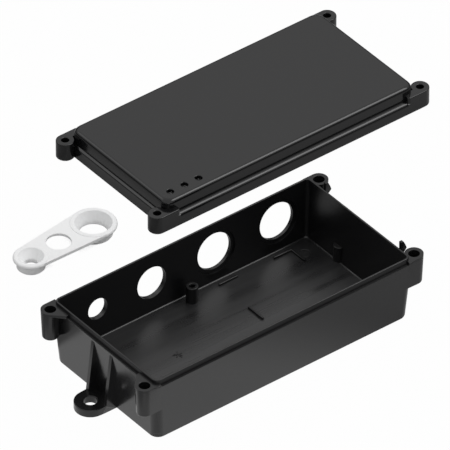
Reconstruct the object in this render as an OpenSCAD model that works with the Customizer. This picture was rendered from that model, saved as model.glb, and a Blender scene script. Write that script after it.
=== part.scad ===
// Plastic project box: an open moulded tray, its screw-on lid lying behind it
// and a moulded strip of cable bushes lying beside it.
// Origin: centre of the tray's underside. X runs along the box, Z is up.

/* [Tray] */
// Length of the tray at its rim
box_length = 145; // [120:1:200]
// Width of the tray at its rim
box_width = 76; // [70:1:110]
// Height of the tray from its underside to the ledge
wall_height = 30.5; // [29:0.5:50]
// Thickness of the tray's walls
wall = 2.4; // [2:0.1:3]
// Thickness of the tray's floor
floor_thickness = 2.6; // [1.8:0.1:4]
// Radius of the tray's upright corners
corner_radius = 4.2; // [4:0.1:5]
// How far each outer wall leans in between the rim and the underside
draft = 2; // [0.5:0.1:2.6]
// Radius of the edge round the underside
foot_radius = 0.8; // [0.3:0.1:1.5]

/* [Rim] */
// Thickness of the raised lip
lip_thickness = 1.2; // [0.8:0.1:1.6]
// Height of the lip above the ledge
lip_height = 2.7; // [2:0.1:3.6]

/* [Screw bosses] */
// Outer diameter of the bosses and of the lid's lugs
boss_diameter = 8.6; // [7.6:0.1:10]
// Distance from the rim's short side to the centre of a boss
boss_offset = 2.5; // [2:0.1:3.4]
// How far the bosses stand above the ledge
boss_rise = 1.2; // [0.4:0.1:1.6]
// Height of the bosses
boss_height = 15.2; // [10:0.1:20]
// How much slimmer a boss is at its foot, on each side
boss_taper = 0.6; // [0.3:0.1:0.8]
// Radius of the edge round a boss's foot
boss_edge = 0.5; // [0.2:0.1:1]
// Distance from a boss's centre to the end of its shoulder, at the ledge
boss_shoulder = 5.9; // [5:0.1:8]
// The same distance at the foot of the boss
boss_run = 10.5; // [8:0.1:14]
// Diameter of the insert holes in the bosses
insert_hole = 5; // [3.4:0.1:5.4]
// Depth of the insert holes
insert_depth = 9; // [5:0.5:9]
// Thickness of the web beside each left boss
web_thickness = 1.2; // [0.8:0.1:2]
// Length of that web along the short side
web_length = 8.4; // [7:0.1:12]

/* [Guide fins] */
// Distance of each fin from the tray's middle line
fin_spread = 26.7; // [18:0.1:27]
// Thickness of the fins
fin_thickness = 1.5; // [1:0.1:2]
// Reach of the fins at the ledge
fin_foot_reach = 3.5; // [3:0.1:6]
// Reach of the fins at their shoulder
fin_shoulder_reach = 2.7; // [2:0.1:3]
// Reach of the fins at their top
fin_top_reach = 1.6; // [0.8:0.1:1.9]
// Height of the fins above the ledge
fin_rise = 4.4; // [3:0.1:7]
// Depth of the fins below the ledge
fin_drop = 5; // [2:0.1:8]
// Clearance between the fins and a closed lid
fin_clearance = 0.3; // [0.1:0.05:0.5]

/* [Mounting lugs] */
// Width of the mounting lugs
lug_width = 14.8; // [12:0.2:20]
// Thickness of the mounting lugs
lug_thickness = 3.8; // [2.5:0.1:6]
// Distance from the rim's short side to the hole in a lug
lug_offset = 6.5; // [6.2:0.1:10]
// Diameter of the mounting holes
lug_hole = 6.2; // [4:0.1:7]
// Thickness of the gussets above each lug
gusset_thickness = 1.8; // [1.2:0.1:3]
// Reach of a gusset beyond the rim, where it meets the lug
gusset_reach = 3.3; // [2:0.1:3.4]
// Distance from the top of a gusset to the ledge
gusset_drop = 0.9; // [0.4:0.1:6]

/* [Cable holes] */
// Diameters of the four holes in the back wall
cable_holes = [10.6, 16, 18.6, 18.6];
// Place of each hole along the box
cable_places = [-48, -18, 17.5, 52.5];
// Height of the holes' centres
cable_height = 17.8; // [16:0.1:18]
// Width of the recess round the large holes
recess_margin = 1.9; // [1:0.1:1.9]
// Depth of that recess
recess_depth = 0.8; // [0.4:0.1:1.2]
// Smallest hole that has the recess
recess_from = 18; // [17:0.5:18.5]

/* [Board supports] */
// Diameter of the posts that carry a circuit board
post_diameter = 5.7; // [5:0.1:7]
// Height of the posts above the floor
post_height = 8.4; // [4:0.1:9]
// Diameter of the pilot holes in the posts
post_hole = 2.6; // [1.6:0.1:3.2]
// Distance of the posts from the middle line
post_spread = 29; // [24:0.5:29]
// How far the middle of a half-round rest lies inside the short side's wall
rest_bite = 1.2; // [0.8:0.1:1.6]
// Distance of the half-round rests from the middle line
rest_step = 12; // [6:0.5:18]

/* [Locating ribs] */
// Height of the ribs on the floor
rib_height = 1.2; // [0.6:0.1:3]
// Thickness of the ribs
rib_thickness = 1; // [0.8:0.1:1.6]
// Length of the ribs
rib_length = 10.2; // [6:0.1:12]
// Distance of the rear ribs from the middle line
rib_spread = 29.8; // [26:0.1:30.5]
// Place of the angled rib's corner along the box
rib_corner = 57; // [52:0.5:58]
// Place of the straight ribs along the box
rib_start = 15.8; // [8:0.1:24]

/* [Lid] */
// Height of the lid's skirt
skirt_height = 6.3; // [5.5:0.1:7]
// Width of the bevel round the skirt's top
bevel_width = 1.1; // [0.4:0.1:1.2]
// Height of that bevel
bevel_height = 0.6; // [0.3:0.1:1.2]
// Height of the lid's lugs
lid_lug_height = 9; // [8:0.1:10]
// Height of the lid's raised panel
panel_height = 12.8; // [11.5:0.1:20]
// Distance from the skirt to the panel on the long sides
step_side = 2.5; // [2.2:0.1:3.4]
// Distance from the skirt to the panel on the short sides
step_end = 1.3; // [1.2:0.1:1.6]
// How far the panel's walls lean in between foot and top
panel_draft = 0.4; // [0.2:0.1:0.8]
// Radius of the panel's upright corners
panel_radius = 4.5; // [4.1:0.1:5]
// Radius of the edge round the panel's top
panel_edge = 0.8; // [0.4:0.1:1.5]
// Thickness of the lid
lid_wall = 2.2; // [1.8:0.1:2.6]
// Diameter of the screw holes in the lid
screw_hole = 3.4; // [2.6:0.1:3.6]
// Distance from a screw hole to the end of its lug's web
lug_web_length = 10; // [8:0.1:14]
// Radius of the nose at the end of that web
lug_nose = 1.4; // [0.6:0.1:2]
// Clearance between the lid and the tray's lip
lip_clearance = 0.3; // [0.1:0.05:0.4]
// Clearance above the top of the lip
rebate_clearance = 0.3; // [0.2:0.05:0.5]

/* [Indicator holes] */
// Diameter of the indicator holes
indicator_hole = 3.2; // [2:0.1:5.2]
// Number of indicator holes
indicator_count = 3; // [1:1:6]
// Distance between the indicator holes
indicator_pitch = 8; // [6:0.1:12]
// Distance from the panel's left edge to the first indicator hole
indicator_inset = 7; // [6:0.1:20]
// Distance from the panel's front edge to the indicator holes
indicator_margin = 6.3; // [6:0.1:20]

/* [Bush strip] */
// Height of the strip
strip_height = 6.4; // [6:0.1:9]
// Thickness of the strip's plate
plate_thickness = 1.5; // [1.2:0.1:1.8]
// How far the plate's face lies below the bushes' rims
plate_drop = 0.4; // [0.2:0.1:0.8]
// How far the plate's edge lies inside the flanges
plate_inset = 0.3; // [0.1:0.1:0.8]
// Thickness of the flanges
flange_thickness = 2.2; // [2:0.1:2.8]
// Diameter of the large flange
large_flange = 21.8; // [20.6:0.1:28]
// Outer diameter of the large bush
large_body = 17.8; // [17.8:0.1:19]
// Mouth of the large bush
large_mouth = 16.6; // [15:0.1:16.6]
// Bore of the large bush at its foot
large_bore = 12.8; // [10:0.1:14]
// Diameter of the small flange
small_flange = 16.4; // [15.6:0.1:20]
// Outer diameter of the small bush
small_body = 13; // [12.8:0.1:13.8]
// Mouth of the small bush
small_mouth = 11.4; // [10:0.1:11.6]
// Bore of the small bush at its foot
small_bore = 6.1; // [4:0.1:9]
// Diameter of the plain hole between the bushes
plain_hole = 11.4; // [8:0.1:11.6]
// Distance from the small bush to the plain hole
small_pitch = 16.2; // [15.6:0.1:20]
// Distance from the plain hole to the large bush
large_pitch = 20.4; // [19:0.1:26]
// Radius of the rounded lip round each mouth
bush_lip = 0.6; // [0.3:0.1:0.7]

/* [Layout] */
// Gap between the tray's back wall and the lid
lid_gap = 39.3; // [20:0.1:80]
// How far the lid lies to the right of the tray
lid_shift = 96.3; // [0:0.1:120]
// Distance of the small bush to the left of the tray's middle
strip_shift = 39.6; // [30:0.1:120]
// Distance of the small bush behind the tray's back wall
strip_setback = 56.5; // [20:0.1:90]
// Angle of the bush strip to the box
strip_turn = 3.3; // [-15:0.1:15]

/* [Hidden] */
$fn = 64;
HULL_SIDES = 32;
CUT = 1;
SKIN = 0.01;
BLACK = [0.055, 0.056, 0.06];
WHITE = [0.93, 0.93, 0.93];
EDGE_STEPS = 3;
LIP_STEPS = 5;

boss_radius = boss_diameter / 2;
boss_x = box_length / 2 + boss_offset;
boss_y = box_width / 2 - boss_radius;
boss_top = wall_height + boss_rise;
boss_foot = boss_top - boss_height;
lip_top = wall_height + lip_height;
ledge_width = wall - lip_thickness;
boss_root = boss_offset + ledge_width;
lip_length = box_length - 2 * ledge_width;
lip_width = box_width - 2 * ledge_width;
lip_radius = corner_radius - ledge_width;
room_length = box_length - 2 * wall;
room_width = box_width - 2 * wall;
room_radius = corner_radius - wall;
room_rise = wall_height - floor_thickness;
lean_angle = atan(draft / wall_height);
lug_x = box_length / 2 + lug_offset;
rest_x = box_length / 2 - wall - lean(floor_thickness) + rest_bite;
lug_radius = lug_width / 2;
panel_length = box_length - 2 * step_end;
panel_width = box_width - 2 * step_side;
rebate_depth = lip_top - boss_top + rebate_clearance;
lid_y = box_width + lid_gap;
strip_y = box_width / 2 + strip_setback;
bush_span = small_pitch + large_pitch;
rim_radius = flange_thickness / 2;

// How far a leaning wall lies inside the rim at height z
function lean(z) = draft * max(0, 1 - z / wall_height);

// Points on an arc from angle a to angle b
function arc(x, y, radius, a, b) =
    [for (i = [0:LIP_STEPS]) [x + radius * cos(a + (b - a) * i / LIP_STEPS),
        y + radius * sin(a + (b - a) * i / LIP_STEPS)]];

module rounded_rect(length, width, radius) {
    square([length - 2 * radius, width], center = true);
    square([length, width - 2 * radius], center = true);
    for (x = [-1, 1], y = [-1, 1])
        translate([x * (length / 2 - radius), y * (width / 2 - radius)])
            circle(radius);
}

module slab(length, width, radius, z) {
    translate([0, 0, z])
        linear_extrude(SKIN)
            rounded_rect(length, width, radius, $fn = HULL_SIDES);
}

// A block with leaning walls and a rounded edge at its narrow end
module drafted_block(length, width, radius, height, inset, edge) {
    hull() {
        for (i = [0:EDGE_STEPS]) {
            turn = 90 * i / EDGE_STEPS;
            rise = edge * (1 - cos(turn));
            back = edge * (1 - sin(turn)) + inset * (1 - rise / height);
            slab(length - 2 * back, width - 2 * back, radius, rise);
        }
        slab(length, width, radius, height - SKIN);
    }
}

module at_corners() {
    for (x = [0, 1], y = [0, 1])
        mirror([x, 0, 0])
            mirror([0, y, 0])
                translate([boss_x, boss_y, 0])
                    children();
}

// A boss's outline at height z: a disc, and a shoulder that ends in the long side's face
module boss_outline(z, run, back) {
    translate([0, 0, z])
        linear_extrude(SKIN) {
            circle(boss_radius - boss_taper * (boss_top - z) / boss_height - back,
                $fn = HULL_SIDES);
            translate([-run, boss_radius - lean(z) - back - CUT])
                square(CUT);
        }
}

module boss_posts() {
    at_corners()
        hull() {
            boss_outline(boss_top - SKIN, boss_shoulder, 0);
            boss_outline(wall_height, boss_shoulder, 0);
            boss_outline(boss_foot + boss_edge, boss_run, 0);
            boss_outline(boss_foot, boss_run, boss_edge);
        }
}

// Thin webs from the two left bosses to the short side
module boss_webs() {
    reach = norm([boss_offset, web_length]);
    turn = acos(boss_radius / reach) - atan2(web_length, -boss_offset);
    for (y = [0, 1])
        mirror([1, 0, 0])
            mirror([0, y, 0])
                translate([boss_x, boss_y, boss_top - web_thickness])
                    linear_extrude(web_thickness)
                        polygon([[0, 0],
                            (boss_radius - SKIN) * [cos(turn), sin(turn)],
                            [-boss_offset, -web_length],
                            [-boss_root, -web_length],
                            [-boss_root, 0]]);
}

// The wall of the tray with its lip, bosses and webs, hollowed out
module tray_shell() {
    difference() {
        union() {
            drafted_block(box_length, box_width, corner_radius, wall_height, draft, foot_radius);
            translate([0, 0, wall_height - CUT])
                linear_extrude(lip_height + CUT)
                    rounded_rect(lip_length, lip_width, lip_radius);
            boss_posts();
            boss_webs();
        }
        translate([0, 0, floor_thickness])
            drafted_block(room_length, room_width, room_radius, room_rise,
                lean(floor_thickness), foot_radius);
        translate([0, 0, wall_height - SKIN * 2])
            linear_extrude(lip_height + CUT)
                rounded_rect(room_length, room_width, room_radius);
    }
}

// Two thin fins on the right side that guide the lid
module guide_fins() {
    for (y = [-1, 1])
        translate([box_length / 2, y * fin_spread + fin_thickness / 2, wall_height])
            rotate([90, 0, 0])
                linear_extrude(fin_thickness)
                    polygon([[-ledge_width, 0],
                        [-ledge_width, -fin_drop],
                        [fin_foot_reach, 0],
                        [fin_shoulder_reach, fin_rise / 2],
                        [fin_top_reach, fin_rise],
                        [fin_clearance, fin_rise],
                        [fin_clearance, 0]]);
}

// A flat lug with a round end and two gussets
module mounting_lug() {
    inside = box_length / 2 - draft - ledge_width;
    linear_extrude(lug_thickness) {
        translate([lug_x, 0])
            circle(lug_radius);
        translate([inside, -lug_radius])
            square([lug_x - inside, lug_width]);
    }
    for (y = [-lug_radius + gusset_thickness, lug_radius])
        translate([0, y, 0])
            rotate([90, 0, 0])
                linear_extrude(gusset_thickness)
                    polygon([[inside, lug_thickness / 2],
                        [box_length / 2 + gusset_reach, lug_thickness / 2],
                        [box_length / 2 + gusset_reach, lug_thickness],
                        [box_length / 2, wall_height - gusset_drop],
                        [box_length / 2 - ledge_width, wall_height - gusset_drop]]);
}

module board_post() {
    translate([0, 0, floor_thickness / 2])
        cylinder(h = floor_thickness / 2 + post_height, d = post_diameter);
}

module at_posts() {
    for (y = [-1, 1])
        translate([0, y * post_spread, 0])
            children();
}

// Half a post at each short side, where the circuit board's ends rest
module board_rests() {
    for (turn = [0, 180])
        rotate([0, 0, turn])
            translate([rest_x, rest_step, 0])
                intersection() {
                    board_post();
                    translate([-post_diameter, -post_diameter, 0])
                        cube([post_diameter, 2 * post_diameter, wall_height]);
                }
}

module floor_rib(length, width) {
    translate([0, 0, floor_thickness / 2])
        cube([length, width, floor_thickness / 2 + rib_height]);
}

module floor_ribs() {
    translate([rib_corner - rib_length, rib_spread - rib_thickness / 2, 0])
        floor_rib(rib_length, rib_thickness);
    translate([rib_corner - rib_thickness, rib_spread + rib_thickness / 2 - rib_length, 0])
        floor_rib(rib_thickness, rib_length);
    translate([rib_start, rib_spread - rib_thickness / 2, 0])
        floor_rib(rib_length, rib_thickness);
    translate([rib_start, -rib_thickness, 0])
        floor_rib(rib_thickness, rib_length);
}

// The holes in the back wall and the round recesses on its inner face
module wall_cuts() {
    inner_face = box_width / 2 - wall - lean(cable_height);
    for (i = [0:len(cable_holes) - 1])
        translate([cable_places[i], inner_face, cable_height]) {
            translate([0, -wall, 0])
                rotate([-90, 0, 0])
                    cylinder(h = 3 * wall + draft, d = cable_holes[i]);
            if (cable_holes[i] > recess_from)
                rotate([-90 - lean_angle, 0, 0])
                    translate([0, 0, -wall])
                        cylinder(h = wall + recess_depth, d = cable_holes[i] + 2 * recess_margin);
        }
}

module base() {
    color(BLACK)
        difference() {
            union() {
                tray_shell();
                guide_fins();
                at_posts() board_post();
                board_rests();
                floor_ribs();
                for (x = [0, 1])
                    mirror([x, 0, 0])
                        mounting_lug();
            }
            wall_cuts();
            at_corners()
                translate([0, 0, boss_top - insert_depth])
                    cylinder(h = insert_depth + CUT, d = insert_hole);
            at_posts()
                translate([0, 0, floor_thickness])
                    cylinder(h = post_height + CUT, d = post_hole);
            for (x = [-1, 1])
                translate([x * lug_x, 0, -CUT])
                    cylinder(h = lug_thickness + 2 * CUT, d = lug_hole);
        }
}

// A lug with a web that is flush with the long side and ends in a round nose
module lid_lug() {
    linear_extrude(lid_lug_height) {
        circle(boss_radius);
        translate([-boss_root, -boss_radius / 2])
            square([boss_root, boss_radius]);
        translate([lug_nose - lug_web_length, 0])
            square([lug_web_length - lug_nose, boss_radius]);
        translate([-lug_web_length, 0])
            square([lug_web_length, boss_radius - lug_nose]);
        translate([lug_nose - lug_web_length, boss_radius - lug_nose])
            circle(lug_nose);
    }
}

module lid_body() {
    linear_extrude(skirt_height - bevel_height)
        rounded_rect(box_length, box_width, corner_radius);
    hull() {
        slab(box_length, box_width, corner_radius, skirt_height - bevel_height - SKIN);
        slab(box_length - 2 * bevel_width, box_width - 2 * bevel_width,
            corner_radius - bevel_width, skirt_height - SKIN);
    }
    translate([0, 0, panel_height])
        mirror([0, 0, 1])
            drafted_block(panel_length, panel_width, panel_radius, panel_height - skirt_height + CUT,
                panel_draft, panel_edge);
    at_corners()
        lid_lug();
}

module lid_hollow() {
    translate([0, 0, -CUT])
        linear_extrude(rebate_depth + CUT)
            rounded_rect(lip_length + 2 * lip_clearance, lip_width + 2 * lip_clearance,
                lip_radius + lip_clearance);
    translate([0, 0, -CUT])
        linear_extrude(skirt_height - lid_wall + CUT)
            rounded_rect(room_length, room_width, room_radius);
    translate([0, 0, panel_height - lid_wall])
        mirror([0, 0, 1])
            drafted_block(panel_length - 2 * lid_wall, panel_width - 2 * lid_wall,
                panel_radius - lid_wall, panel_height - lid_wall - rebate_depth,
                panel_draft, panel_edge / 2);
}

module lid() {
    first_x = indicator_inset - panel_length / 2 + panel_draft;
    first_y = indicator_margin - panel_width / 2 + panel_draft;
    color(BLACK)
        translate([lid_shift, lid_y, 0])
            difference() {
                lid_body();
                lid_hollow();
                at_corners()
                    translate([0, 0, -CUT])
                        cylinder(h = lid_lug_height + 2 * CUT, d = screw_hole);
                for (i = [0:indicator_count - 1])
                    translate([first_x + i * indicator_pitch, first_y, panel_height - lid_wall - CUT])
                        cylinder(h = lid_wall + 2 * CUT, d = indicator_hole);
            }
}

// A flanged bush, solid inside
module bush_body(flange, body) {
    top = strip_height;
    rotate_extrude()
        polygon(concat([[0, 0], [body / 2 - bush_lip, 0], [body / 2, bush_lip],
            [body / 2, top - flange_thickness]],
            arc(flange / 2 - rim_radius, top - rim_radius, rim_radius, -90, 90),
            [[0, top]]));
}

// The funnel inside a bush: a rounded mouth, a cone and a straight bore
module bush_funnel(mouth, bore) {
    top = strip_height;
    knee = strip_height / 3;
    rotate_extrude()
        polygon(concat([[0, -CUT], [bore / 2, -CUT], [bore / 2, knee],
            [mouth / 2, top - bush_lip]],
            arc(mouth / 2 + bush_lip, top - bush_lip, bush_lip, 180, 90),
            [[mouth / 2 + bush_lip, top + CUT], [0, top + CUT]]));
}

// The plate's two long edges run from flange to flange
module strip_plate() {
    small_r = small_flange / 2 - plate_inset;
    large_r = large_flange / 2 - plate_inset;
    turn = asin((large_r - small_r) / bush_span);
    small_edge = small_r * [-sin(turn), cos(turn)];
    large_edge = large_r * [-sin(turn), cos(turn)];
    translate([0, 0, strip_height - plate_drop - plate_thickness])
        linear_extrude(plate_thickness)
            polygon([[small_edge[0], -small_edge[1]],
                [bush_span + large_edge[0], -large_edge[1]],
                [bush_span + large_edge[0], large_edge[1]],
                small_edge]);
}

module bush_strip() {
    color(WHITE)
        translate([-strip_shift, strip_y, 0])
            rotate([0, 0, strip_turn])
                difference() {
                    union() {
                        strip_plate();
                        bush_body(small_flange, small_body);
                        translate([bush_span, 0, 0])
                            bush_body(large_flange, large_body);
                    }
                    bush_funnel(small_mouth, small_bore);
                    translate([bush_span, 0, 0])
                        bush_funnel(large_mouth, large_bore);
                    translate([small_pitch, 0, -CUT])
                        cylinder(h = strip_height + 2 * CUT, d = plain_hole);
                }
}

base();
lid();
bush_strip();
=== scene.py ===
"""Looks of the plastic project box: moulded edges, satin black ABS, milky polyethylene bushes."""
import math

import bmesh
import bpy
from mathutils import Matrix, Vector


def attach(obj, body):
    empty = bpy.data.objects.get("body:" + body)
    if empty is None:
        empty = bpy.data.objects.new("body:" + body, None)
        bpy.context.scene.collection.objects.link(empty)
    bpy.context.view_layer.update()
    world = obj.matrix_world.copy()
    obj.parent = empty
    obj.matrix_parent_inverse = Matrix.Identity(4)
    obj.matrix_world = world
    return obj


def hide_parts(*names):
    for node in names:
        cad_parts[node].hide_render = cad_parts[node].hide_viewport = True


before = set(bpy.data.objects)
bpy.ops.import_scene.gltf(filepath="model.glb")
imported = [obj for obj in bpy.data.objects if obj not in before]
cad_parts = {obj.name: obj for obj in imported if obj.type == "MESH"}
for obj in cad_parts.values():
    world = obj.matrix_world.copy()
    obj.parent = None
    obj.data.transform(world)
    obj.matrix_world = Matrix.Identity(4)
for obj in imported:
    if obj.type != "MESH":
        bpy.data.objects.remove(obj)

MM = 0.001
# Polished black, and the grey of etched plastic, which on the tray's floor also carries painted sheen
POLISHED_BLACK = (0.0030, 0.0030, 0.0034)
ETCHED_AND_SHEEN_BLACK = (0.0350, 0.0350, 0.0356)
WHITE = (1, 1, 1, 1)

# Outline of the tray's rim and of the lid's skirt
BOX_LENGTH, BOX_WIDTH = 145.0 * MM, 76.0 * MM
# The tray: its floor, its ledge, the foot of its leaning outer walls and its raised lip
FLOOR_TOP, LEDGE_HEIGHT = 2.6 * MM, 30.5 * MM
OUTER_FOOT_X, OUTER_FOOT_Y = 70.3 * MM, 35.85 * MM
LIP_LENGTH, LIP_WIDTH, LIP_RADIUS = 142.6 * MM, 73.6 * MM, 3.0 * MM
LIP_HEIGHT, LIP_LEAN = 2.7 * MM, 0.28 * MM
# The lid: its middle, the top of its skirt and its raised panel
LID_X, LID_Y, SKIRT_TOP = 96.3 * MM, 115.3 * MM, 6.3 * MM
PANEL_LENGTH, PANEL_WIDTH, PANEL_RADIUS = 142.4 * MM, 71.0 * MM, 4.5 * MM
PANEL_TOP, PANEL_INSET, PANEL_SLOPE = 12.8 * MM, 0.4 * MM, 0.0615
# The lid's wide rounds, and half the length of the ledges between the lugs
PANEL_ROUND, END_ROUND, SIDE_ROUND = 2.0 * MM, 1.2 * MM, 2.1 * MM
END_HALF_SPAN, SIDE_HALF_SPAN = 30.1 * MM, 64.95 * MM
# Steps along a round's section, and round an upright corner of the panel
ROUND_STEPS, CORNER_STEPS = 9, 8
# How far a cutter stands out of what it cuts, and a length too small to see
CLEAR, HAIR = 1 * MM, 0.02 * MM

# From what angle an edge is sharp, and from what angle one edge only carries another on
SHARP_EDGE, STRAIGHT_ON = math.radians(34), math.radians(150)
# The most that a radius takes of the face beside it, and the smallest share of it that is made
ROOM_SHARE, LEAST_SHARE = 0.45, 0.6
# Points closer than this are welded, edges shorter than this don't count, and flatter ones go
WELD_DISTANCE, NO_LENGTH, FLAT_ENOUGH = 0.002 * MM, 1e-7, math.radians(0.8)

# Marks of the mould on the tray's floor: rings round the ejector pins, and the gate's scar
RING_RADIUS, BEAD_RADIUS, RING_SINK = 2.7 * MM, 0.14 * MM, 0.04 * MM
PIN_X, PIN_Y = 60 * MM, 24.8 * MM
SCAR_RAYS, SCAR_HEART = 7, 0.45 * MM
SCAR_BAR_WIDTH, SCAR_BAR_HEIGHT, SCAR_LIFT = 0.42 * MM, 0.34 * MM, 0.03 * MM

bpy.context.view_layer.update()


# ---------------------------------------------------------------- shader maths

class Expr:
    """A socket that takes part in ordinary arithmetic."""

    def __init__(self, tree, socket):
        self.tree = tree
        self.socket = socket

    def _math(self, operation, a, b=None, clamp=False):
        node = self.tree.nodes.new("ShaderNodeMath")
        node.operation = operation
        node.use_clamp = clamp
        for slot, value in zip(node.inputs, (a, b)):
            if isinstance(value, Expr):
                self.tree.links.new(value.socket, slot)
            elif value is not None:
                slot.default_value = value
        return Expr(self.tree, node.outputs[0])

    def __add__(self, other):
        return self._math("ADD", self, other)

    def __radd__(self, other):
        return self._math("ADD", other, self)

    def __sub__(self, other):
        return self._math("SUBTRACT", self, other)

    def __rsub__(self, other):
        return self._math("SUBTRACT", other, self)

    def __mul__(self, other):
        return self._math("MULTIPLY", self, other)

    def __rmul__(self, other):
        return self._math("MULTIPLY", other, self)

    def __truediv__(self, other):
        return self._math("DIVIDE", self, other)

    def above(self, level):
        return self._math("GREATER_THAN", self, level)

    def below(self, level):
        return self._math("LESS_THAN", self, level)

    def most(self, other):
        return self._math("MAXIMUM", self, other)

    def size(self):
        return self._math("ABSOLUTE", self)

    def clamp(self):
        return self._math("ADD", self, 0.0, clamp=True)


class Shading:
    """A node tree of a material or of the world."""

    def __init__(self, tree):
        self.tree = tree

    def node(self, kind, settings=None, out=0, inputs=(), **sockets):
        """Adds a node: its settings first, then its sockets by order or by name. Gives one output."""
        node = self.tree.nodes.new("ShaderNode" + kind)
        for key, value in (settings or {}).items():
            setattr(node, key, value)
        for socket, value in zip(node.inputs, inputs):
            self.feed(socket, value)
        for name, value in sockets.items():
            wanted = name.replace("_", " ").lower()
            self.feed(next(socket for socket in node.inputs
                           if socket.enabled and socket.name.lower() == wanted), value)
        return Expr(self.tree, node.outputs[out])

    def outputs(self, kind, *keys, **sockets):
        """Adds a node and gives several of its outputs."""
        node = self.node(kind, **sockets).socket.node
        return [Expr(self.tree, node.outputs[key]) for key in keys]

    def feed(self, socket, value):
        if isinstance(value, Expr):
            self.tree.links.new(value.socket, socket)
        else:
            socket.default_value = value

    def rays(self):
        """Whether a ray comes from the camera, off a gloss or through something clear."""
        return self.outputs("LightPath", "Is Camera Ray", "Is Glossy Ray", "Is Transmission Ray")


class Finish(Shading):
    """A material on a Principled shader."""

    def __init__(self, name):
        self.material = bpy.data.materials.new(name)
        self.material.use_nodes = True
        super().__init__(self.material.node_tree)
        self.shader = self.tree.nodes["Principled BSDF"]

    def set(self, **sockets):
        for name, value in sockets.items():
            self.feed(self.shader.inputs[name.replace("_", " ")], value)

    def place(self):
        return self.node("TexCoord", out="Object")

    def xyz(self):
        return self.outputs("SeparateXYZ", "X", "Y", "Z", vector=self.place())

    def noise(self, scale, stretch=(1, 1, 1), detail=3.0, rough=0.5):
        mapped = self.node("Mapping", vector=self.place(), scale=stretch)
        return self.node("TexNoise", dict(noise_dimensions="3D"), vector=mapped,
                         scale=scale, detail=detail, roughness=rough)

    def ramp(self, value, low, high, out_low=0.0, out_high=1.0):
        return self.node("MapRange", dict(interpolation_type="SMOOTHSTEP"), value=value,
                         from_min=low, from_max=high, to_min=out_low, to_max=out_high)

    def tint(self, factor, dark, light):
        return self.node("Mix", dict(data_type="RGBA"), out=2,
                         factor=factor, a=(*dark, 1), b=(*light, 1))

    def bump(self, height, strength, distance):
        return self.node("Bump", height=height, strength=strength, distance=distance)


# ------------------------------------------------------------------- finishes

def black_abs(name, shine, etch, skin):
    """Satin black ABS. skin(finish, x, y, z) gives how etched the mould was, and where the tray's floor has
    its streaks and painted sheen.
    """
    finish = Finish(name)
    x, y, z = finish.xyz()
    grain = finish.noise(1500, detail=2)
    flow = finish.noise(13, stretch=(0.5, 1, 1), detail=4)
    etched, streaks_and_sheen = skin(finish, x, y, z)
    roughness = shine + (flow - 0.5) * 0.06 + (grain - 0.5) * 0.04 + etched * etch
    height = grain * 0.3 + flow * 0.15 + etched * grain * 0.5
    shade = flow * 0.05 + grain * 0.03 + etched * 0.12
    if streaks_and_sheen is not None:
        streak = finish.noise(70, stretch=(0.06, 1.5, 1), detail=5, rough=0.62)
        cloud = finish.noise(34, stretch=(0.4, 1, 1), detail=3)
        roughness = roughness + streaks_and_sheen * ((streak - 0.5) * 0.7 + (cloud - 0.5) * 0.45)
        height = height + streaks_and_sheen * streak * 1.2
        # Painted sheen: on the tray's floor the streaks and clouds lighten the colour, standing in for what
        # the glossy floor mirrors; the streaks themselves are the mould's
        shade = shade + streaks_and_sheen * (streak * 2.6 + cloud * 1.2 - 1.25)
    finish.set(Base_Color=finish.tint(shade.clamp(), POLISHED_BLACK, ETCHED_AND_SHEEN_BLACK),
               Roughness=roughness.clamp(),
               Normal=finish.bump(height, 0.35, 0.02 * MM))
    finish.shader.inputs["IOR"].default_value = 1.46
    return finish.material


def tray_skin(finish, x, y, z):
    """Outer walls are etched; the floor keeps the mould's long streaks, made stronger towards the front,
    where their lift in colour is painted sheen.
    """
    outside = (x.size() - OUTER_FOOT_X).most(y.size() - OUTER_FOOT_Y)
    below_ledge = finish.ramp(z, LEDGE_HEIGHT + 0.1 * MM, LEDGE_HEIGHT - 0.2 * MM)
    etched = finish.ramp(outside, 0.0, 0.2 * MM) * below_ledge
    floor = z.above(FLOOR_TOP - 0.2 * MM) * z.below(FLOOR_TOP + 0.2 * MM) * (1 - etched)
    # Painted sheen: the floor's streaks grow from half strength at the back to 1.4 times in front, so the
    # front floor is painted lighter
    return etched, floor * (finish.ramp(y, 26 * MM, -12 * MM) * 0.9 + 0.5)


def cover_skin(finish, x, y, z):
    """The lid's panel is lightly etched and its walls are polished. It has no streaks and no painted sheen.
    """
    return finish.ramp(z, PANEL_TOP - 0.4 * MM, PANEL_TOP - 0.1 * MM) * 0.3, None


def milky_polyethylene(name):
    """Soft, slightly see-through white moulding."""
    finish = Finish(name)
    cloud = finish.noise(70, detail=3)
    wave = finish.noise(260, stretch=(1, 0.4, 1), detail=2)
    finish.set(Base_Color=finish.tint(cloud, (0.86, 0.863, 0.866), (0.91, 0.912, 0.914)),
               Roughness=finish.ramp(cloud, 0.3, 0.7, 0.34, 0.44),
               Normal=finish.bump(wave, 0.25, 0.05 * MM))
    finish.shader.inputs["IOR"].default_value = 1.45
    finish.shader.inputs["Subsurface Weight"].default_value = 0.12
    finish.shader.inputs["Subsurface Scale"].default_value = 1.5 * MM
    finish.shader.inputs["Subsurface Radius"].default_value = (1.0, 1.0, 1.0)
    return finish.material


# --------------------------------------------------------------------- pieces

def link(name, mesh):
    piece = bpy.data.objects.new(name, mesh)
    bpy.context.scene.collection.objects.link(piece)
    return piece


def settle(piece):
    """Applies a piece's modifiers and leaves one plain mesh."""
    graph = bpy.context.evaluated_depsgraph_get()
    mesh = bpy.data.meshes.new_from_object(piece.evaluated_get(graph), depsgraph=graph)
    piece.modifiers.clear()
    piece.data = mesh
    return piece


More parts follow.
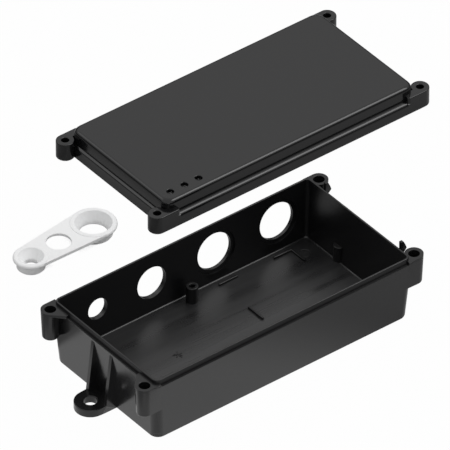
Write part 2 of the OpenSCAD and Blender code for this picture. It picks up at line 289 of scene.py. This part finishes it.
def taper_lip(form):
    """Leans the outer face of the tray's lip in, as it is moulded to lead into the lid."""
    for corner in form.verts:
        x, y, z = corner.co
        past_x = max(abs(x) - (LIP_LENGTH / 2 - LIP_RADIUS), 0)
        past_y = max(abs(y) - (LIP_WIDTH / 2 - LIP_RADIUS), 0)
        reach = math.hypot(past_x, past_y)
        on_outer_face = abs(reach - LIP_RADIUS) < 0.05 * MM
        if z < LEDGE_HEIGHT + HAIR or not on_outer_face:
            continue
        lean = LIP_LEAN * (z - LEDGE_HEIGHT) / LIP_HEIGHT / reach
        corner.co.x -= math.copysign(past_x * lean, x)
        corner.co.y -= math.copysign(past_y * lean, y)


def quarter_round(radius, inset=0.0, slope=0.0):
    """Section of what is cut away: (inwards, down) points round a rounded outer edge."""
    start = inset + radius * (1 + slope ** 2) ** 0.5 - radius * slope
    last = math.pi / 2 - math.atan(slope)
    turns = [last * i / ROUND_STEPS for i in range(ROUND_STEPS + 1)]
    return [(start - radius * math.sin(turn), radius - radius * math.cos(turn)) for turn in turns]


def cutter_mesh(rings):
    """A closed mesh through rings of points, the last ring joined to the first."""
    form = bmesh.new()
    rows = [[form.verts.new(point) for point in ring] for ring in rings]
    for near, far in zip(rows, rows[1:] + rows[:1]):
        for i in range(len(near)):
            j = (i + 1) % len(near)
            form.faces.new((near[i], near[j], far[j], far[i]))
    return form


def panel_cutter(radius):
    """Rounds the lid's raised panel off along its whole top edge."""
    section = quarter_round(radius, PANEL_INSET, PANEL_SLOPE)
    (first, _), (_, low) = section[0], section[-1]
    section += [(-CLEAR, low), (-CLEAR, -CLEAR), (first, -CLEAR)]
    rings = []
    for inwards, down in section:
        ring = []
        for corner in range(4):
            for i in range(CORNER_STEPS + 1):
                turn = math.radians(90 * corner + 90 * i / CORNER_STEPS)
                side_x = 1 if corner in (0, 3) else -1
                side_y = 1 if corner in (0, 1) else -1
                ring.append((LID_X + side_x * (PANEL_LENGTH / 2 - inwards - PANEL_RADIUS)
                             + PANEL_RADIUS * math.cos(turn),
                             LID_Y + side_y * (PANEL_WIDTH / 2 - inwards - PANEL_RADIUS)
                             + PANEL_RADIUS * math.sin(turn),
                             PANEL_TOP - down))
        rings.append(ring)
    return cutter_mesh(rings)


def ledge_cutter(radius, reach, half_span, turn):
    """Rounds off the top edge of one side of the skirt, between the lugs."""
    section = quarter_round(radius)
    section += [(-HAIR, radius), (-HAIR, -CLEAR), (radius, -CLEAR)]
    form = bmesh.new()
    across = Vector((math.cos(turn), math.sin(turn), 0))
    along = Vector((-math.sin(turn), math.cos(turn), 0))
    middle = Vector((LID_X, LID_Y, SKIRT_TOP))
    ends = []
    for end in (-half_span, half_span):
        ends.append([form.verts.new(middle + along * end + across * (reach - inwards)
                                    - Vector((0, 0, down))) for inwards, down in section])
    for i in range(len(section)):
        j = (i + 1) % len(section)
        form.faces.new((ends[0][i], ends[0][j], ends[1][j], ends[1][i]))
    form.faces.new(ends[0][::-1])
    form.faces.new(ends[1])
    return form


def round_lid(piece):
    """The soft edges of the lid: a wide one round the panel and one along each ledge."""
    end = (END_ROUND, BOX_LENGTH / 2, END_HALF_SPAN)
    side = (SIDE_ROUND, BOX_WIDTH / 2, SIDE_HALF_SPAN)
    cutters = [panel_cutter(PANEL_ROUND)]
    for quarter, ledge in enumerate((end, side, end, side)):
        cutters.append(ledge_cutter(*ledge, math.radians(90 * quarter)))
    for form in cutters:
        bmesh.ops.recalc_face_normals(form, faces=form.faces)
        mesh = bpy.data.meshes.new("cutter")
        form.to_mesh(mesh)
        form.free()
        tool = link("cutter", mesh)
        cut = piece.modifiers.new("rounded_edge", "BOOLEAN")
        cut.operation = "DIFFERENCE"
        cut.solver = "EXACT"
        cut.object = tool
        settle(piece)
        bpy.data.objects.remove(tool)
        bpy.data.meshes.remove(mesh)


def convex(edge):
    return edge.is_convex


def level_and_convex(edge):
    low, high = sorted(corner.co.z for corner in edge.verts)
    return edge.is_convex and high - low < HAIR / 2


def mark_edges(piece, width, chosen):
    """Gives each chosen edge its share of the radius, less where the faces beside it are small.

    An edge that gets none stays sharp to the eye.
    """
    form = bmesh.new()
    form.from_mesh(piece.data)
    share = form.edges.layers.float.new("bevel_weight_edge")
    sharp = {edge for edge in form.edges
             if edge.is_manifold and edge.calc_face_angle() > SHARP_EDGE}
    for edge in sharp:
        edge.smooth = False
        if chosen and not chosen(edge):
            continue
        room = width
        for corner in edge.verts:
            along = edge.other_vert(corner).co - corner.co
            for side in corner.link_edges:
                if side is edge or not set(side.link_faces) & set(edge.link_faces):
                    continue
                beside = side.other_vert(corner).co - corner.co
                if min(along.length, beside.length) < NO_LENGTH:
                    continue
                turn = along.angle(beside)
                if side in sharp and turn > STRAIGHT_ON:
                    continue
                room = min(room, beside.length * math.sin(turn) * ROOM_SHARE)
        if room > LEAST_SHARE * width:
            edge[share] = room / width
            edge.smooth = True
    form.to_mesh(piece.data)
    form.free()


def moulded(node, name, edge_radius, material, reshape=None, carve=None, chosen=None):
    """A moulding with small radii on its edges. reshape works on its raw form, carve on its mesh.

    chosen(edge) says which sharp edges get a radius; without it all do.
    """
    form = bmesh.new()
    form.from_mesh(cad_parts[node].data)
    bmesh.ops.remove_doubles(form, verts=form.verts, dist=WELD_DISTANCE)
    if reshape:
        reshape(form)
    bmesh.ops.dissolve_limit(form, angle_limit=FLAT_ENOUGH, verts=form.verts, edges=form.edges)
    mesh = bpy.data.meshes.new(name)
    form.to_mesh(mesh)
    form.free()
    piece = link(name, mesh)
    if carve:
        carve(piece)
    piece.data.shade_smooth()
    mark_edges(piece, edge_radius, chosen)
    rounding = piece.modifiers.new("edge_radii", "BEVEL")
    rounding.width = edge_radius
    rounding.segments = 3
    rounding.limit_method = "WEIGHT"
    rounding.use_clamp_overlap = False
    shading = piece.modifiers.new("flat_faces_stay_flat", "WEIGHTED_NORMAL")
    shading.mode = "FACE_AREA"
    shading.weight = 100
    shading.keep_sharp = True
    settle(piece)
    piece.data.materials.clear()
    piece.data.materials.append(material)
    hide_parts(node)
    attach(piece, "root")
    return piece


def ejector_ring_tree(material):
    """Rings round the given places, where pins pushed the moulding out of its mould."""
    tree = bpy.data.node_groups.new("ejector_rings", "GeometryNodeTree")
    face = tree.interface
    face.new_socket("Places", in_out="INPUT", socket_type="NodeSocketGeometry")
    names = {}
    for label in ("Ring radius", "Bead radius"):
        socket = face.new_socket(label, in_out="INPUT", socket_type="NodeSocketFloat")
        names[label] = socket.identifier
    face.new_socket("Rings", in_out="OUTPUT", socket_type="NodeSocketGeometry")
    new, wire = tree.nodes.new, tree.links.new
    given = new("NodeGroupInput")
    result = new("NodeGroupOutput")
    ring = new("GeometryNodeCurvePrimitiveCircle")
    ring.inputs["Resolution"].default_value = 40
    bead = new("GeometryNodeCurvePrimitiveCircle")
    bead.inputs["Resolution"].default_value = 8
    sweep = new("GeometryNodeCurveToMesh")
    spread = new("GeometryNodeInstanceOnPoints")
    real = new("GeometryNodeRealizeInstances")
    paint = new("GeometryNodeSetMaterial")
    paint.inputs["Material"].default_value = material
    wire(given.outputs["Ring radius"], ring.inputs["Radius"])
    wire(given.outputs["Bead radius"], bead.inputs["Radius"])
    wire(ring.outputs["Curve"], sweep.inputs["Curve"])
    wire(bead.outputs["Curve"], sweep.inputs["Profile Curve"])
    wire(given.outputs["Places"], spread.inputs["Points"])
    wire(sweep.outputs["Mesh"], spread.inputs["Instance"])
    wire(spread.outputs["Instances"], real.inputs["Geometry"])
    wire(real.outputs["Geometry"], paint.inputs["Geometry"])
    wire(paint.outputs["Geometry"], result.inputs["Rings"])
    return tree, names


def ejector_rings(name, places, material):
    """Faint raised rings on a moulding's inner face."""
    mesh = bpy.data.meshes.new(name)
    mesh.from_pydata(places, [], [])
    piece = link(name, mesh)
    tree, names = ejector_ring_tree(material)
    nodes = piece.modifiers.new("ejector_rings", "NODES")
    nodes.node_group = tree
    nodes[names["Ring radius"]] = RING_RADIUS
    nodes[names["Bead radius"]] = BEAD_RADIUS
    settle(piece)
    piece.data.shade_smooth()
    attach(piece, "root")


def gate_scar(name, place, material):
    """The rough little star that is left where the plastic flowed in."""
    form = bmesh.new()
    for ray in range(SCAR_RAYS):
        turn = math.radians(360 / SCAR_RAYS * ray + 11 * (ray % 3))
        length = (1.5 + 0.5 * (ray % 2)) * MM
        bar = bmesh.ops.create_cube(form, size=1.0)["verts"]
        bmesh.ops.scale(form, verts=bar, vec=(length, SCAR_BAR_WIDTH, SCAR_BAR_HEIGHT))
        bmesh.ops.translate(form, verts=bar, vec=(SCAR_HEART + length / 2, 0, SCAR_LIFT))
        bmesh.ops.rotate(form, verts=bar, cent=(0, 0, 0), matrix=Matrix.Rotation(turn, 3, "Z"))
    bmesh.ops.translate(form, verts=form.verts, vec=place)
    mesh = bpy.data.meshes.new(name)
    form.to_mesh(mesh)
    form.free()
    piece = link(name, mesh)
    piece.data.materials.append(material)
    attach(piece, "root")


tray_plastic = black_abs("tray_abs", 0.31, -0.11, tray_skin)
lid_plastic = black_abs("lid_abs", 0.13, 0.05, cover_skin)
bush_plastic = milky_polyethylene("bush_polyethylene")

tray = moulded("base", "tray", 0.30 * MM, tray_plastic, reshape=taper_lip, chosen=level_and_convex)
pin_places = [(sx * PIN_X, sy * PIN_Y, FLOOR_TOP - RING_SINK) for sx in (-1, 1) for sy in (-1, 1)]
ejector_rings("tray_ejector_marks", pin_places, tray_plastic)
gate_scar("tray_gate_scar", (-28.5 * MM, 2.5 * MM, FLOOR_TOP), tray_plastic)
cover = moulded("lid", "cover", 0.45 * MM, lid_plastic, carve=round_lid, chosen=convex)
bushes = moulded("bush_strip", "bushes", 0.35 * MM, bush_plastic)


# ---------------------------------------------------------------------- stage

def pale_floor():
    """White to the eye. Its mirror image carries painted light and shade: brightest at the near left, it dims
    to the far right.
    """
    finish = Finish("pale_floor")
    camera, glossy, through = finish.rays()
    # Painted shade near contacts: where the floor sees little open sky within 60 mm, its white glow gives way
    # to its lit colour, which holds the real shadow
    open_sky = finish.node("AmbientOcclusion", dict(samples=16), out="AO", distance=60 * MM)
    daylight = finish.ramp(open_sky, 0.04, 0.12)
    x, y, _ = finish.xyz()
    # Painted light and shade, set by place: how bright the plastic sees the floor; dimmer away from the tray
    # and towards the right, dim beyond the tray's back, dimmest there left of the lid
    away = (x.size() - BOX_LENGTH / 2).most(y.size() - BOX_WIDTH / 2)
    near = finish.ramp(away, 25 * MM, 38 * MM, 1.0, 0.12)
    across = (finish.ramp(x + away, -5 * MM, 70 * MM, 1.0, 0.27)
              * finish.ramp(x, -74 * MM, -62 * MM, 0.86, 1.0))
    beyond = finish.ramp(y, 40 * MM, 44 * MM, 0.0, 1.0)
    behind = finish.ramp(x, 14 * MM, 18 * MM, 0.04, 0.23)
    painted_mirror_light = near * across * (1 - beyond) + beyond * behind
    share = (camera + through).clamp() * 0.985 + glossy * painted_mirror_light
    finish.set(Base_Color=(0.40, 0.40, 0.40, 1), Roughness=0.9, Specular_IOR_Level=0.0)
    lit = Expr(finish.tree, finish.shader.outputs[0])
    glow = finish.node("Emission", color=WHITE, strength=1.0)
    mixed = finish.node("MixShader", inputs=((share * daylight).clamp(), lit, glow))
    finish.feed(finish.tree.nodes["Material Output"].inputs["Surface"], mixed)
    return finish.material


def studio_world():
    """White all round for the eye; what the plastic mirrors dims towards the horizon."""
    world = bpy.data.worlds.new("studio")
    bpy.context.scene.world = world
    world.use_nodes = True
    air = Shading(world.node_tree)
    camera, glossy, through = air.rays()
    height = air.node("SeparateXYZ", out="Z", vector=air.node("TexCoord", out="Generated"))
    sky = ((height - 0.22) / 0.33).clamp() * 0.84 + 0.08
    diffuse = 1 - (camera + through + glossy).clamp()
    background = air.tree.nodes["Background"]
    background.inputs["Color"].default_value = WHITE
    air.feed(background.inputs["Strength"],
             (camera + through).clamp() + glossy * sky + diffuse * 0.60)


def soft_box(name, place, aim, size, power):
    lamp = bpy.data.lights.new(name, "AREA")
    lamp.shape = "RECTANGLE"
    lamp.size, lamp.size_y = size
    lamp.energy = power
    light = bpy.data.objects.new(name, lamp)
    bpy.context.scene.collection.objects.link(light)
    light.location = place
    light.rotation_mode = "QUATERNION"
    light.rotation_quaternion = (Vector(aim) - Vector(place)).to_track_quat("-Z", "Y")


def studio_floor(reach, level):
    """The surface under the pieces, a hair below them so that no two faces share a place."""
    corners = [(-reach, -reach, level), (reach, -reach, level), (reach, reach, level), (-reach, reach, level)]
    mesh = bpy.data.meshes.new("studio_floor")
    mesh.from_pydata(corners, [], [(0, 1, 2, 3)])
    floor = link("studio_floor", mesh)
    floor.data.materials.append(pale_floor())


def place_camera(azimuth, elevation, distance, target, lens):
    camera_data = bpy.data.cameras.new("camera")
    camera = bpy.data.objects.new("camera", camera_data)
    bpy.context.scene.collection.objects.link(camera)
    turn, tilt = math.radians(azimuth), math.radians(elevation)
    back = Vector((math.sin(turn) * math.cos(tilt), -math.cos(turn) * math.cos(tilt), math.sin(tilt)))
    camera.location = Vector(target) + back * distance
    camera.rotation_mode = "QUATERNION"
    camera.rotation_quaternion = (-back).to_track_quat("-Z", "Y")
    camera_data.lens = lens
    camera_data.sensor_width = 36
    camera_data.clip_end = 60
    bpy.context.scene.camera = camera


studio_floor(reach=12.0, level=-0.05 * MM)
studio_world()
middle = (0.047, 0.065, 0.0)
soft_box("back_box", place=(-0.25, 0.87, 0.98), aim=middle, size=(0.6, 0.6), power=0.9)
soft_box("front_box", place=(0.68, -0.27, 1.09), aim=middle, size=(0.6, 0.9), power=6.5)
soft_box("side_card", place=(-0.32, -0.42, 0.22), aim=(-0.02, 0.0, 0.01), size=(0.25, 0.25), power=0.35)
place_camera(azimuth=-38.046, elevation=38.203, distance=5.349, target=(0.0467, 0.0651, 0), lens=960)
bpy.context.scene.view_settings.view_transform = "Standard"
